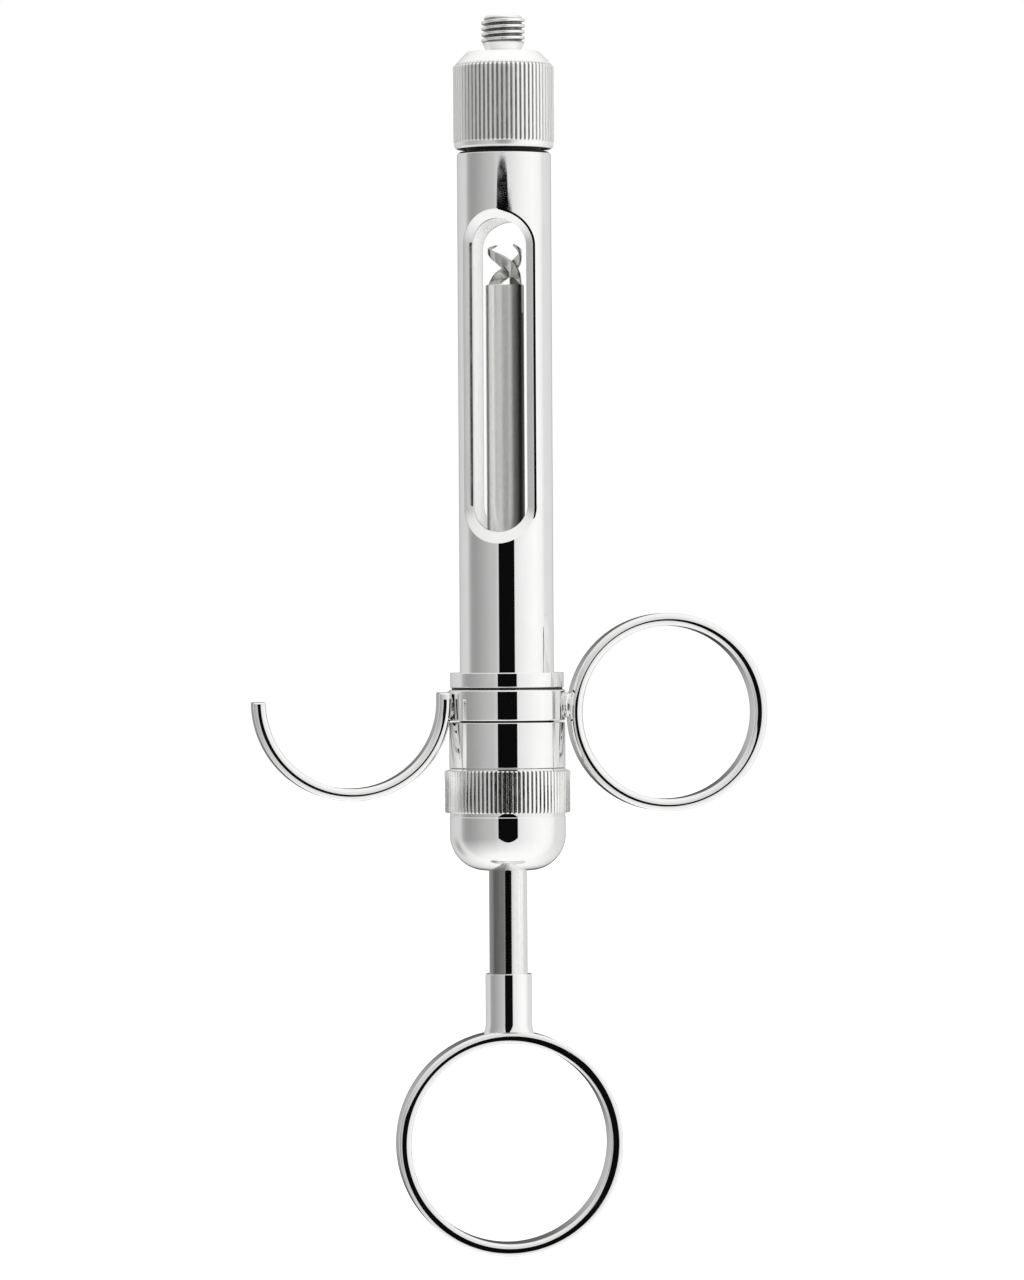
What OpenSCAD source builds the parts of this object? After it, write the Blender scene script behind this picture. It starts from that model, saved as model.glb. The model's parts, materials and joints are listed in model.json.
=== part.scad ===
// Aspirating dental syringe, rear loading, for a 1.8 ml cartridge.
// Z runs along the barrel towards the needle. Z = 0 is the front face of the nose cap.
// X runs across the finger grips: the closed ring is at +X and the open hook at -X.
// Threads between the syringe's own pieces are plain cylinders with a small clearance.

/* [Needle adaptor] */
// Outer radius of the needle thread
needle_thread_r = 2.8; // [2.6:0.05:3.0]
// Pitch of the needle thread
needle_pitch = 0.75; // [0.7:0.05:0.8]
// Radius of the bore for the needle's rear end
needle_bore_r = 0.9; // [0.6:0.05:1.2]

/* [Nose cap] */
// Outer radius of the nose cap
cap_r = 6.45; // [6.3:0.05:6.8]
// Length of the nose cap
cap_len = 12.4; // [12:0.1:13]
// Number of knurl grooves on the nose cap
cap_knurls = 68; // [48:2:80]

/* [Barrel] */
// Outer radius of the barrel
barrel_r = 6.0; // [5.8:0.05:6.2]
// Radius of the cartridge bay
bay_r = 4.5; // [4.4:0.05:4.6]
// Width of the window
window_w = 7.0; // [5:0.1:7.4]
// Length of the window
window_len = 40.0; // [30:1:40]
// Width of the bevel around the window
window_bevel = 1.2; // [0.8:0.1:1.3]
// Turn of the windows from the plane square to the finger rings
window_clock = -17; // [-30:1:30]

/* [Finger grip] */
// Outer radius of both finger grips
finger_r = 12.7; // [12:0.1:14]
// Distance of the closed ring's centre from the axis
ring_x = 20.6; // [20.5:0.1:21]
// Distance of the hook's centre from the axis
hook_x = 20.0; // [20.0:0.1:20.4]
// Outer radius of the grip collar
collar_r = 7.45; // [7.3:0.05:7.5]

/* [Rings] */
// Thickness of the ring bands, measured across the ring
band_t = 1.6; // [1.2:0.1:1.8]
// Width of the ring bands, measured along Y
band_w = 5.2; // [4:0.1:6]

/* [Breech] */
// Outer radius of the lock sleeve and the dome
dome_r = 7.42; // [7.3:0.02:7.5]
// Outer radius of the knurled band
knurl_r = 8.05; // [7.9:0.05:8.3]
// Number of knurl grooves on the breech nut
breech_knurls = 86; // [60:2:100]

/* [Piston] */
// Radius of the piston rod
rod_r = 2.45; // [2.3:0.05:2.45]
// Outer radius of the thumb ring
thumb_r = 14.4; // [13:0.1:16]
// Length of the rod between dome and ferrule
rod_gap = 13.2; // [10:0.1:30]

/* [Hidden] */
$fn = 96;

chrome = [0.86, 0.87, 0.87];
satin = [0.62, 0.62, 0.60];
dull = [0.48, 0.48, 0.46];
white = [0.93, 0.92, 0.88];
black = [0.10, 0.10, 0.10];

// Radial clearance of a running or sliding fit, and the gap between flat faces that turn.
fit = 0.05;
face_gap = 0.05;
// Overrun that keeps a cutter clear of the face it passes through.
over = 1;

// Needle adaptor.
adaptor_top = 4.6;
thread_start = 1.4;
thread_depth = 0.42;
crest_flat = 0.2;
crests = 4;
adaptor_neck_r = 2.1;
spigot_r = 2.5;
roof_t = 3.6;

// Nose cap and the barrel's front neck.
neck_r = 5.12;
neck_bore_r = 3.95;
cap_top_r = 4.6;
cap_lip = 1.0;
cap_knurl_depth = 0.22;
seat_t = 1.8;
seat_top = -roof_t - face_gap;
neck_top = seat_top - seat_t - face_gap;
barrel_top = -cap_len - 0.4;
bay_top = barrel_top - 0.4;

// Barrel, windows and rear thread.
window_top = -21.5;
window_bottom = window_top - window_len;
rim_depth = 0.5;
flange_top = -79.4;
flange_bottom = -81.3;
flange_r = 7.25;
washer_t = 0.25;
collar_top = flange_bottom - washer_t - face_gap;
collar_bottom = -85.55;
sleeve_top = -85.75;
sleeve_bottom = -91.6;
thread_r = 5.8;
barrel_bottom = -98.5;

// Breech nut, outside and inside.
nut_top = sleeve_bottom - face_gap;
knurl_top = -91.9;
knurl_bottom = -97.3;
knurl_depth = 0.3;
dome_bottom = -104.7;
dome_fillet = 4.6;
nut_shoulder = -99.9;
gland_r = 4.2;
gland_bottom = -102.3;

// Guide tube, clip, pusher and spring.
guide_in_r = rod_r + fit;
guide_out_r = guide_in_r + 0.6;
guide_flange_r = 5.7;
guide_front = -71.4;
guide_flange_top = barrel_bottom - face_gap;
guide_flange_bottom = nut_shoulder + face_gap;
clip_top = -72.0;
clip_t = 0.6;
clip_groove_r = guide_out_r - 0.12;
clip_r = 3.7;
pusher_front = -66.6;
pusher_shoulder = clip_top - clip_t - face_gap;
pusher_rear = -77.0;
pusher_out_r = bay_r - 0.1;
pusher_in_r = 3.85;
spring_wire_r = 0.3;
spring_coils = 9;
spring_r = (guide_out_r + bay_r) / 2;
spring_front = pusher_rear;
spring_rear = guide_flange_top;

// Seal at the rear.
seal_washer_top = nut_shoulder - face_gap;
seal_washer_t = 0.5;
seal_wire_r = 0.75;
seal_z = -101.35;

// Piston.
rod_front = -29.8;
slot_depth = 3.6;
slot_w = 0.5;
piston_clock = -28;
harpoon_tip = -24.8;
harpoon_twist = 210;
tang_w = 2 * rod_r - 0.3;
prong_w = 1.35;
prong_root_r = 1.6;
prong_path_r = 1.9;
ferrule_r = 2.97;
ferrule_top = dome_bottom - rod_gap;
ferrule_len = 7.3;
tail_r = 1.5;
tail_len = 5.5;
thumb_z = ferrule_top - ferrule_len - thumb_r;

// Finger grips.
finger_z = -84.6;
hook_z = -83.0;
hook_rise = 1.1;
pad_h = 3.8;
pad_w = 3.4;

// A tube, or a plain ring, from z_top down to z_bottom.
module tube(outer_r, inner_r, z_top, z_bottom) {
    difference() {
        translate([0, 0, z_bottom]) cylinder(r = outer_r, h = z_top - z_bottom);
        translate([0, 0, z_bottom - over]) cylinder(r = inner_r, h = z_top - z_bottom + 2 * over);
    }
}

// A plain round hole from z_top down to z_bottom.
module hole(r, z_top, z_bottom) {
    translate([0, 0, z_bottom]) cylinder(r = r, h = z_top - z_bottom);
}

// The outline of a straight knurl: one pointed ridge per groove.
function knurl_outline(r, depth, count) = [
    for (i = [0 : 2 * count - 1])
        let (angle = 180 * i / count, reach = i % 2 == 0 ? r : r - depth)
        [reach * cos(angle), reach * sin(angle)]
];

module knurl(r, depth, count, z_top, z_bottom) {
    translate([0, 0, z_bottom])
        linear_extrude(height = z_top - z_bottom) polygon(knurl_outline(r, depth, count));
}

// The section of a ring band: flat sides and half-round edges.
module band_section(ring_r) {
    flat = band_w - band_t;
    translate([ring_r - band_t, -flat / 2]) square([band_t, flat]);
    for (side = [-1, 1])
        translate([ring_r - band_t / 2, side * flat / 2]) circle(r = band_t / 2, $fn = 48);
}

// A ring band lying in the XZ plane, centred at x, z.
module ring_band(ring_r, x, z) {
    translate([x, 0, z]) rotate([90, 0, 0]) rotate_extrude() band_section(ring_r);
}

// Half of a ring band, below its centre.
module half_band(ring_r, x, z) {
    translate([x, 0, z]) rotate([90, 0, 0]) rotate([0, 0, 180])
        rotate_extrude(angle = 180) band_section(ring_r);
}

// The adaptor's outline: crests with a flat top, a lead chamfer, an undercut neck and the spigot.
function thread_outline() = [
    for (i = [0 : crests - 1])
        let (z = thread_start + 0.25 + i * needle_pitch, root_r = needle_thread_r - thread_depth)
        each [
            [root_r, z - 0.2],
            [needle_thread_r, z],
            [needle_thread_r, z + crest_flat],
            [root_r, z + crest_flat + 0.2]
        ]
];

module needle_adaptor() {
    outline = concat(
        [[0, -roof_t], [spigot_r, -roof_t], [spigot_r, 0], [adaptor_neck_r, 0]],
        [[adaptor_neck_r, 0.15], [needle_thread_r - 0.15, thread_start - 0.1]],
        thread_outline(),
        [[needle_thread_r - 0.35, adaptor_top], [0, adaptor_top]]
    );
    color(chrome) difference() {
        rotate_extrude() polygon(outline);
        hole(needle_bore_r, adaptor_top + over, -roof_t - over);
    }
}

// The cap's crown: everything below a rounded shoulder that reaches past the knurl.
module cap_crown(z_bottom) {
    shoulder_slope = 2;
    rotate_extrude() polygon([
        [0, z_bottom], [cap_r + over, z_bottom], [cap_r + over, -1.6 - shoulder_slope * over],
        [cap_r - 0.3, -1.0], [cap_top_r + 0.5, -0.2], [cap_top_r, 0], [0, 0]
    ]);
}

module nose_cap() {
    lip_top = -cap_len + cap_lip;
    lip_r = cap_r - 0.1;
    color(chrome) difference() {
        union() {
            intersection() {
                knurl(cap_r, cap_knurl_depth, cap_knurls, over, lip_top);
                cap_crown(lip_top - over);
            }
            rotate_extrude() polygon([
                [0, -cap_len], [lip_r - 0.35, -cap_len], [lip_r, -cap_len + 0.45],
                [lip_r, lip_top], [0, lip_top]
            ]);
        }
        hole(spigot_r, over, -roof_t - over);
        hole(neck_r + fit, -roof_t, -cap_len - over);
    }
}

module cartridge_seat() {
    color(white) tube(neck_r - 0.1, neck_bore_r, seat_top, seat_top - seat_t);
}

// A straight-sided slot with round ends that runs out from the axis along -Y.
module window_slot(half_w) {
    top_z = window_top - window_w / 2;
    bottom_z = window_bottom + window_w / 2;
    for (z = [top_z, bottom_z])
        translate([0, 0, z]) rotate([90, 0, 0]) cylinder(r = half_w, h = barrel_r + over);
    translate([-half_w, -barrel_r - over, bottom_z])
        cube([2 * half_w, barrel_r + over, top_z - bottom_z]);
}

// The window's cutter: the slot itself, and the sunk rim that follows the round barrel.
module window_cutter() {
    window_slot(window_w / 2);
    difference() {
        window_slot(window_w / 2 + window_bevel);
        hole(barrel_r - rim_depth, over, 2 * window_bottom);
    }
}

module barrel_tube() {
    color(chrome) difference() {
        rotate_extrude() polygon([
            [0, barrel_bottom], [thread_r - 0.3, barrel_bottom], [thread_r, barrel_bottom + 0.3],
            [thread_r, sleeve_top], [barrel_r, sleeve_top], [barrel_r, barrel_top - 0.35],
            [barrel_r - 0.35, barrel_top], [neck_r, barrel_top], [neck_r, neck_top - 0.3],
            [neck_r - 0.3, neck_top], [0, neck_top]
        ]);
        hole(neck_bore_r, neck_top + over, bay_top - over);
        hole(bay_r, bay_top, barrel_bottom - over);
        for (turn = [0, 180]) rotate([0, 0, window_clock + turn]) window_cutter();
    }
}

module barrel_flange() {
    color(chrome) tube(flange_r, barrel_r, flange_top, flange_bottom);
}

module grip_washer() {
    color(dull)
        tube(flange_r - 0.15, barrel_r + fit, flange_bottom - face_gap / 2, collar_top + face_gap / 2);
}

// A brazing pad that runs out from the collar to a finger grip's outer face.
module brazing_pad(side, reach, z) {
    x_inner = collar_r - 1.2;
    x_low = side > 0 ? x_inner : -reach;
    translate([x_low, -pad_w / 2, z - pad_h / 2]) cube([reach - x_inner, pad_w, pad_h]);
}

module grip_collar() {
    pad_z = (collar_top + collar_bottom) / 2;
    color(chrome) difference() {
        union() {
            rotate_extrude() polygon([
                [0, collar_bottom], [collar_r - 0.2, collar_bottom], [collar_r, collar_bottom + 0.2],
                [collar_r, collar_top - 0.2], [collar_r - 0.2, collar_top], [0, collar_top]
            ]);
            brazing_pad(1, ring_x - finger_r + 0.4, pad_z);
            brazing_pad(-1, hook_x - finger_r + 0.4, pad_z);
        }
        hole(barrel_r + fit, collar_top + over, collar_bottom - over);
        ring_band(finger_r, ring_x, finger_z);
        half_band(finger_r, -hook_x, hook_z);
        translate([-hook_x, 0, hook_z]) linear_extrude(height = hook_rise) band_section(finger_r);
    }
}

module finger_ring() {
    color(chrome) ring_band(finger_r, ring_x, finger_z);
}

module finger_hook() {
    color(chrome) {
        half_band(finger_r, -hook_x, hook_z);
        translate([-hook_x, 0, hook_z]) linear_extrude(height = hook_rise) band_section(finger_r);
    }
}

module lock_sleeve() {
    color(chrome) difference() {
        rotate_extrude() polygon([
            [0, sleeve_bottom], [dome_r, sleeve_bottom], [dome_r, sleeve_top - 0.2],
            [dome_r - 0.2, sleeve_top], [0, sleeve_top]
        ]);
        hole(thread_r, sleeve_top + over, sleeve_bottom - over);
    }
}

// The dome: straight, then a round fillet down to a small flat.
module dome() {
    fillet_z = dome_bottom + dome_fillet;
    flat_r = dome_r - dome_fillet;
    hole(dome_r, knurl_bottom + 0.5, fillet_z);
    rotate_extrude() {
        translate([0, dome_bottom]) square([flat_r, dome_fillet]);
        intersection() {
            translate([flat_r, fillet_z]) circle(r = dome_fillet);
            translate([flat_r, dome_bottom]) square([dome_fillet, dome_fillet]);
        }
    }
}

module breech_nut() {
    color(chrome) difference() {
        union() {
            tube(dome_r, thread_r + fit, nut_top, knurl_top - 0.1);
            knurl(knurl_r, knurl_depth, breech_knurls, knurl_top, knurl_bottom);
            dome();
        }
        hole(thread_r + fit, nut_top + over, nut_shoulder);
        hole(gland_r, nut_shoulder + over, gland_bottom);
        hole(rod_r + 2 * fit, gland_bottom + over, dome_bottom - over);
    }
}

module guide_tube() {
    color(satin) difference() {
        union() {
            hole(guide_out_r, guide_front, guide_flange_bottom);
            hole(guide_flange_r, guide_flange_top, guide_flange_bottom);
        }
        hole(guide_in_r, guide_front + over, guide_flange_bottom - over);
        tube(guide_out_r + over, clip_groove_r, clip_top, clip_top - clip_t);
    }
}

module guide_clip() {
    opening = 2 * clip_groove_r * 0.8;
    color(dull) difference() {
        tube(clip_r, clip_groove_r, clip_top, clip_top - clip_t);
        translate([0, -opening / 2, clip_top - clip_t - over])
            cube([clip_r + over, opening, clip_t + 2 * over]);
    }
}

module cartridge_pusher() {
    color(satin) difference() {
        hole(pusher_out_r, pusher_front, pusher_rear);
        hole(pusher_in_r, pusher_front + over, pusher_shoulder);
        hole(guide_out_r + fit, pusher_shoulder + over, pusher_rear - over);
    }
}

// A closed coil spring, swept as rings of points around a helix.
module pusher_spring() {
    steps_per_turn = 16;
    sides = 6;
    rings = spring_coils * steps_per_turn;
    length = spring_front - spring_rear - 2 * spring_wire_r;
    points = [
        for (i = [0 : rings], j = [0 : sides - 1])
            let (
                turn = 360 * i / steps_per_turn,
                angle = 360 * j / sides,
                reach = spring_r + spring_wire_r * cos(angle),
                z = spring_rear + spring_wire_r + length * i / rings + spring_wire_r * sin(angle)
            )
            [reach * cos(turn), reach * sin(turn), z]
    ];
    walls = [
        for (i = [0 : rings - 1], j = [0 : sides - 1])
            let (a = i * sides + j, b = i * sides + (j + 1) % sides)
            each [[a, b, b + sides], [a, b + sides, a + sides]]
    ];
    ends = [
        [for (j = [sides - 1 : -1 : 0]) j],
        [for (j = [0 : sides - 1]) rings * sides + j]
    ];
    color(satin) polyhedron(points = points, faces = concat(walls, ends));
}

module seal_washer() {
    color(satin) tube(gland_r - 0.1, rod_r + 0.15, seal_washer_top, seal_washer_top - seal_washer_t);
}

module rod_seal() {
    color(black) translate([0, 0, seal_z]) rotate_extrude()
        translate([rod_r + fit + seal_wire_r, 0]) circle(r = seal_wire_r, $fn = 32);
}

module piston_rod() {
    color(dull) difference() {
        union() {
            hole(rod_r, rod_front, ferrule_top);
            hole(tail_r, ferrule_top + over, ferrule_top - tail_len);
        }
        rotate([0, 0, piston_clock]) translate([-rod_r - over, -slot_w / 2, rod_front - slot_depth])
            cube([2 * rod_r + 2 * over, slot_w, slot_depth + over]);
    }
}

// One leg of the barb: a flat strip that leaves the slot edge-on, turns its face outwards, and
// winds round the axis ever faster up to its point.
module prong(start) {
    steps = 20;
    foot = rod_front + 0.2;
    rise = harpoon_tip - foot;
    points = [
        for (i = [0 : steps], corner = [[-1, -1], [1, -1], [1, 1], [-1, 1]])
            let (
                u = i / steps,
                blend = min(1, 3 * u),
                swing = start - harpoon_twist * (0.25 * u + 0.75 * pow(u, 3.2)),
                reach = prong_root_r + (prong_path_r - prong_root_r) * blend,
                slope = atan2(rise, reach * harpoon_twist * PI / 180 * (0.25 + 2.4 * pow(u, 2.2))),
                wide = corner[0] * prong_w / 2 * (1 - 0.65 * u * u),
                thick = corner[1] * slot_w / 2 * (1 - 0.4 * u),
                out = reach + wide * cos(90 * blend) - thick * sin(90 * blend),
                across = wide * sin(90 * blend) + thick * cos(90 * blend),
                aside = across * sin(slope)
            )
            [
                out * cos(swing) - aside * sin(swing),
                out * sin(swing) + aside * cos(swing),
                foot + rise * u + across * cos(slope)
            ]
    ];
    walls = [
        for (i = [0 : steps - 1], j = [0 : 3])
            let (
                a = i * 4 + j,
                b = i * 4 + (j + 1) % 4
            )
            each [[a, b + 4, b], [a, a + 4, b + 4]]
    ];
    ends = [[0, 1, 2, 3], [for (j = [3 : -1 : 0]) steps * 4 + j]];
    polyhedron(points = points, faces = concat(walls, ends));
}

// The barb: a tang that fits the rod's slot, split above the rod into two twisted legs.
module harpoon() {
    color(dull) rotate([0, 0, piston_clock]) {
        translate([-tang_w / 2, -slot_w / 2, rod_front - slot_depth])
            cube([tang_w, slot_w, slot_depth + 0.02]);
        for (start = [0, 180]) {
            rotate([0, 0, start]) translate([prong_root_r - prong_w / 2, -slot_w / 2, rod_front - 0.5])
                cube([prong_w, slot_w, 0.9]);
            prong(start);
        }
    }
}

// The ferrule joins the rod's tail to the thumb ring, and ends in a low flare on the ring.
module ring_ferrule() {
    color(chrome) difference() {
        union() {
            hole(ferrule_r, ferrule_top, ferrule_top - ferrule_len + 1);
            translate([0, 0, ferrule_top - ferrule_len - 0.45])
                cylinder(r1 = ferrule_r + 0.2, r2 = ferrule_r, h = 1.55);
        }
        hole(tail_r, ferrule_top + over, ferrule_top - tail_len);
        ring_band(thumb_r, 0, thumb_z);
    }
}

module thumb_ring() {
    color(chrome) ring_band(thumb_r, 0, thumb_z);
}

needle_adaptor();
nose_cap();
cartridge_seat();
barrel_tube();
barrel_flange();
grip_washer();
grip_collar();
finger_ring();
finger_hook();
lock_sleeve();
breech_nut();
guide_tube();
guide_clip();
cartridge_pusher();
pusher_spring();
seal_washer();
rod_seal();
piston_rod();
harpoon();
ring_ferrule();
thumb_ring();
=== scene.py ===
"""Looks of the aspirating dental syringe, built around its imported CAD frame."""

import json
import math

import bmesh
import bpy
from mathutils import Matrix, Vector


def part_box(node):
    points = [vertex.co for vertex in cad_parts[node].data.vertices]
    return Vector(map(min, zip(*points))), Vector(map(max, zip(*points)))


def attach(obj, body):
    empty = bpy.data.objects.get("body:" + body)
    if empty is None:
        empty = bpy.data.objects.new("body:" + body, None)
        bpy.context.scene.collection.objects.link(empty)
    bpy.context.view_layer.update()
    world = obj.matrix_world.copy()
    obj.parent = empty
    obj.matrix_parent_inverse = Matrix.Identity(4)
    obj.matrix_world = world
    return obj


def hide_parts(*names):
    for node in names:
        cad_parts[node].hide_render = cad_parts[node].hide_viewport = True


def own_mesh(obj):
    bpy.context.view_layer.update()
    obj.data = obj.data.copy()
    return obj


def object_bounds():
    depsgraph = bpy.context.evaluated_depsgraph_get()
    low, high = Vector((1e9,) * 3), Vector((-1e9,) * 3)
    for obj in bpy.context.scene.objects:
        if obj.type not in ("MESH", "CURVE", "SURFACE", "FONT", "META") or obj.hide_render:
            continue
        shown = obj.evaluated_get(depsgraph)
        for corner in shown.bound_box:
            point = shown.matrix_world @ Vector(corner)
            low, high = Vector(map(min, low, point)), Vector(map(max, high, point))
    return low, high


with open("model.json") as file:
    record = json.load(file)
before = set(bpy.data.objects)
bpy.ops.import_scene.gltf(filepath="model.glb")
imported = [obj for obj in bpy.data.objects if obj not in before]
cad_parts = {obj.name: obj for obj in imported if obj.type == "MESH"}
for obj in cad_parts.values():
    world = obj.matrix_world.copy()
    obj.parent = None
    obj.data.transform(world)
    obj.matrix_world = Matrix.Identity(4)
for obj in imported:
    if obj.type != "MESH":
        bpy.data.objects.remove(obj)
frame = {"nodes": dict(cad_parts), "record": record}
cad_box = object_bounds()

MM = 0.001
TAU = 2 * math.pi
WELD = 0.0004 * MM


# ---------------- sizes, in millimetres, from the frame

def low(node):
    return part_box(node)[0] / MM


def high(node):
    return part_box(node)[1] / MM


def outer_r(node):
    """Radius of a round node that stands on the axis."""
    return (high(node).y - low(node).y) / 2


def slide_range(name):
    """The ends of a sliding joint's travel, in metres."""
    joints = frame["record"]["behaviour"]["joints"]
    return [joint["range_m"] for joint in joints if joint["name"] == name][0]


BARREL_R = outer_r("barrel_tube")
BARREL_NECK_TOP = high("barrel_tube").z
BARREL_BOTTOM = low("barrel_tube").z
BARREL_TOP = low("nose_cap").z - 0.4
BAY_R = 4.5
NECK_R = 5.12
NECK_BORE_R = 3.95
REAR_THREAD_R = 5.8
WINDOW_TOP = -21.5
WINDOW_BOTTOM = -61.5
WINDOW_HALF = 3.5
WINDOW_BEVEL = 1.2
WINDOW_CLOCK = math.radians(-17)
THREAD_PITCH = 1.0
THREAD_DEPTH = 0.4
NEEDLE_PITCH = 0.75
NEEDLE_THREAD_DEPTH = 0.42

ARC_STEPS = 96
SIDE_STEPS = 30
PATCH_TOP = -15.0
PATCH_BOTTOM = -70.0

TOOTH_COLUMNS = 8
CAP_KNURL_DEPTH = 0.26
NUT_KNURL_DEPTH = 0.34
NUT_KNURL_LOW = -97.3

COLLAR_R = 7.45
BAND_T = 1.6
BAND_W = high("thumb_ring").y - low("thumb_ring").y
ROD_R = outer_r("piston_rod")
ROD_FRONT = high("piston_rod").z
PISTON_CLOCK = math.radians(-28)
SLOT_W = 0.5
SLOT_DEPTH = 3.6
BARB_R = 2.33


# ---------------- mesh helpers

class Mesh:
    """Vertices in millimetres and faces, gathered before they become an object."""

    def __init__(self):
        self.points = []
        self.faces = []
        self.marks = []
        self.mark = 0

    def add(self, point):
        self.points.append(point)
        return len(self.points) - 1

    def face(self, corners):
        self.faces.append(tuple(corners))
        self.marks.append(self.mark)

    def rows(self, rows, flip=False):
        """Joins rows of points of equal length with quads; each row runs round to its start."""
        indices = [[self.add(p) for p in row] for row in rows]
        for a, b in zip(indices, indices[1:]):
            count = len(a)
            for i in range(count):
                j = (i + 1) % count
                quad = (a[i], a[j], b[j], b[i])
                self.face(quad[::-1] if flip else quad)
        return indices

    def capped_rows(self, rows):
        """Joins rows and closes both ends with a face."""
        indices = self.rows(rows)
        self.face(indices[0][::-1])
        self.face(indices[-1])


def finish_piece(name, mesh, body, material, replaced=(), sharp=32.0):
    """Turns a Mesh into a welded, smooth-shaded object that rides on a body."""
    data = bpy.data.meshes.new(name)
    data.from_pydata([Vector(p) * MM for p in mesh.points], [], mesh.faces)
    materials = material if isinstance(material, tuple) else (material,)
    for each in materials:
        data.materials.append(each)
    data.polygons.foreach_set("material_index", mesh.marks)
    work = bmesh.new()
    work.from_mesh(data)
    bmesh.ops.remove_doubles(work, verts=work.verts, dist=WELD)
    bmesh.ops.dissolve_degenerate(work, dist=WELD * 0.5, edges=work.edges)
    bmesh.ops.recalc_face_normals(work, faces=work.faces)
    work.to_mesh(data)
    work.free()
    data.shade_smooth()
    data.set_sharp_from_angle(angle=math.radians(sharp))
    piece = bpy.data.objects.new(name, data)
    bpy.context.scene.collection.objects.link(piece)
    weighted = piece.modifiers.new("even_shading", "WEIGHTED_NORMAL")
    weighted.keep_sharp = True
    weighted.weight = 70
    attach(piece, body)
    for node in replaced:
        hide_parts(node)
    return piece


def true_round(piece, radii, aim=None, aimed_mark=None):
    """Sets exact radial normals on faces that lie on a cylinder of one of these radii.

    Faces with the aimed mark get the normal that aim returns for the face's centre.
    """
    piece.modifiers.clear()
    data = piece.data
    normals = [Vector((0, 0, 0))] * len(data.loops)
    reach = [Vector((v.co.x, v.co.y)).length / MM for v in data.vertices]
    for face in data.polygons:
        if aim and face.material_index == aimed_mark:
            wanted = aim(face.center)
            for loop in face.loop_indices:
                normals[loop] = wanted
            continue
        for radius in radii:
            if all(abs(reach[v] - radius) < 0.004 for v in face.vertices):
                for loop in face.loop_indices:
                    co = data.vertices[data.loops[loop].vertex_index].co
                    radial = Vector((co.x, co.y, 0)).normalized()
                    normals[loop] = radial if radial.dot(face.normal) > 0 else -radial
    data.normals_split_custom_set(normals)


def rounded(corners, steps=4):
    """Replaces each corner (r, z, fillet radius) of an open outline by an arc."""
    points = []
    for i, corner in enumerate(corners):
        fillet = corner[2] if len(corner) > 2 else 0
        here = Vector(corner[:2])
        if not fillet or i in (0, len(corners) - 1):
            points.append(here)
            continue
        back = (Vector(corners[i - 1][:2]) - here).normalized()
        ahead = (Vector(corners[i + 1][:2]) - here).normalized()
        half = back.angle(ahead) / 2
        reach = fillet / math.tan(half)
        centre = here + (back + ahead).normalized() * fillet / math.sin(half)
        start = here + back * reach - centre
        end = here + ahead * reach - centre
        sweep = start.angle_signed(end)
        for k in range(steps + 1):
            turn = -sweep * k / steps
            c, s = math.cos(turn), math.sin(turn)
            points.append(centre + Vector((start.x * c - start.y * s, start.x * s + start.y * c)))
    return [(p.x, p.y) for p in points]


def ring_row(radius_at, z, columns):
    """One row of points around the axis. radius_at is a radius or a function of the angle."""
    row = []
    for i in range(columns):
        angle = TAU * i / columns
        r = radius_at(angle) if callable(radius_at) else radius_at
        row.append((r * math.cos(angle), r * math.sin(angle), z))
    return row


def lathe_rows(outline, columns):
    return [ring_row(max(r, 0), z, columns) for r, z in outline]


def thread_radius(root, crest, pitch, z, fade):
    """Radius of a right-handed screw thread as a function of the angle, at height z."""
    def at(angle):
        phase = (z / pitch - angle / TAU) % 1.0
        rise = 1 - abs(2 * phase - 1)
        rise = min(max((rise - 0.12) / 0.6, 0), 1)
        rise = rise * rise * (3 - 2 * rise)
        return root + (crest - root) * rise * fade
    return at


def thread_rows(root, crest, pitch, z_from, z_to, columns, step, run_out=0.5):
    """Rows of a thread between two heights, fading out over run_out turns at each end."""
    count = max(2, int(abs(z_to - z_from) / step))
    rows = []
    for k in range(count + 1):
        z = z_from + (z_to - z_from) * k / count
        near = min(abs(z - z_from), abs(z - z_to)) / (run_out * pitch)
        rows.append(ring_row(thread_radius(root, crest, pitch, z, min(near, 1)), z, columns))
    return rows


def knurl_radius(crest, depth, count, top=None):
    """Radius of a straight knurl: flat-topped teeth between grooves with soft sides."""
    def at(angle):
        phase = (angle * count / TAU) % 1.0
        groove = min(max((0.27 - abs(phase - 0.5)) / 0.19, 0.0), 1.0)
        r = crest - depth * groove * groove * (3 - 2 * groove)
        return r if top is None else min(r, top)
    return at


# ---------------- materials

def new_material(name, metallic=0.0):
    """A material, its node tree and its shader."""
    material = bpy.data.materials.new(name)
    material.use_nodes = True
    shader = material.node_tree.nodes["Principled BSDF"]
    shader.inputs["Metallic"].default_value = metallic
    return material, material.node_tree, shader


def feed(tree, value, socket):
    """Sets a socket to a plain value, or links another node's output to it."""
    if isinstance(value, (int, float, tuple)):
        socket.default_value = value
    else:
        tree.links.new(value, socket)


def coordinates(tree, scale):
    """Object coordinates, in millimetres, stretched by scale."""
    place = tree.nodes.new("ShaderNodeTexCoord")
    stretch = tree.nodes.new("ShaderNodeMapping")
    stretch.inputs["Scale"].default_value = [s / MM for s in scale]
    tree.links.new(place.outputs["Object"], stretch.inputs["Vector"])
    return stretch.outputs["Vector"]


def noise(tree, scale, detail=4.0, roughness=0.6):
    texture = tree.nodes.new("ShaderNodeTexNoise")
    texture.inputs["Scale"].default_value = 1.0
    texture.inputs["Detail"].default_value = detail
    texture.inputs["Roughness"].default_value = roughness
    tree.links.new(coordinates(tree, scale), texture.inputs["Vector"])
    return texture.outputs["Fac"]


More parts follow.
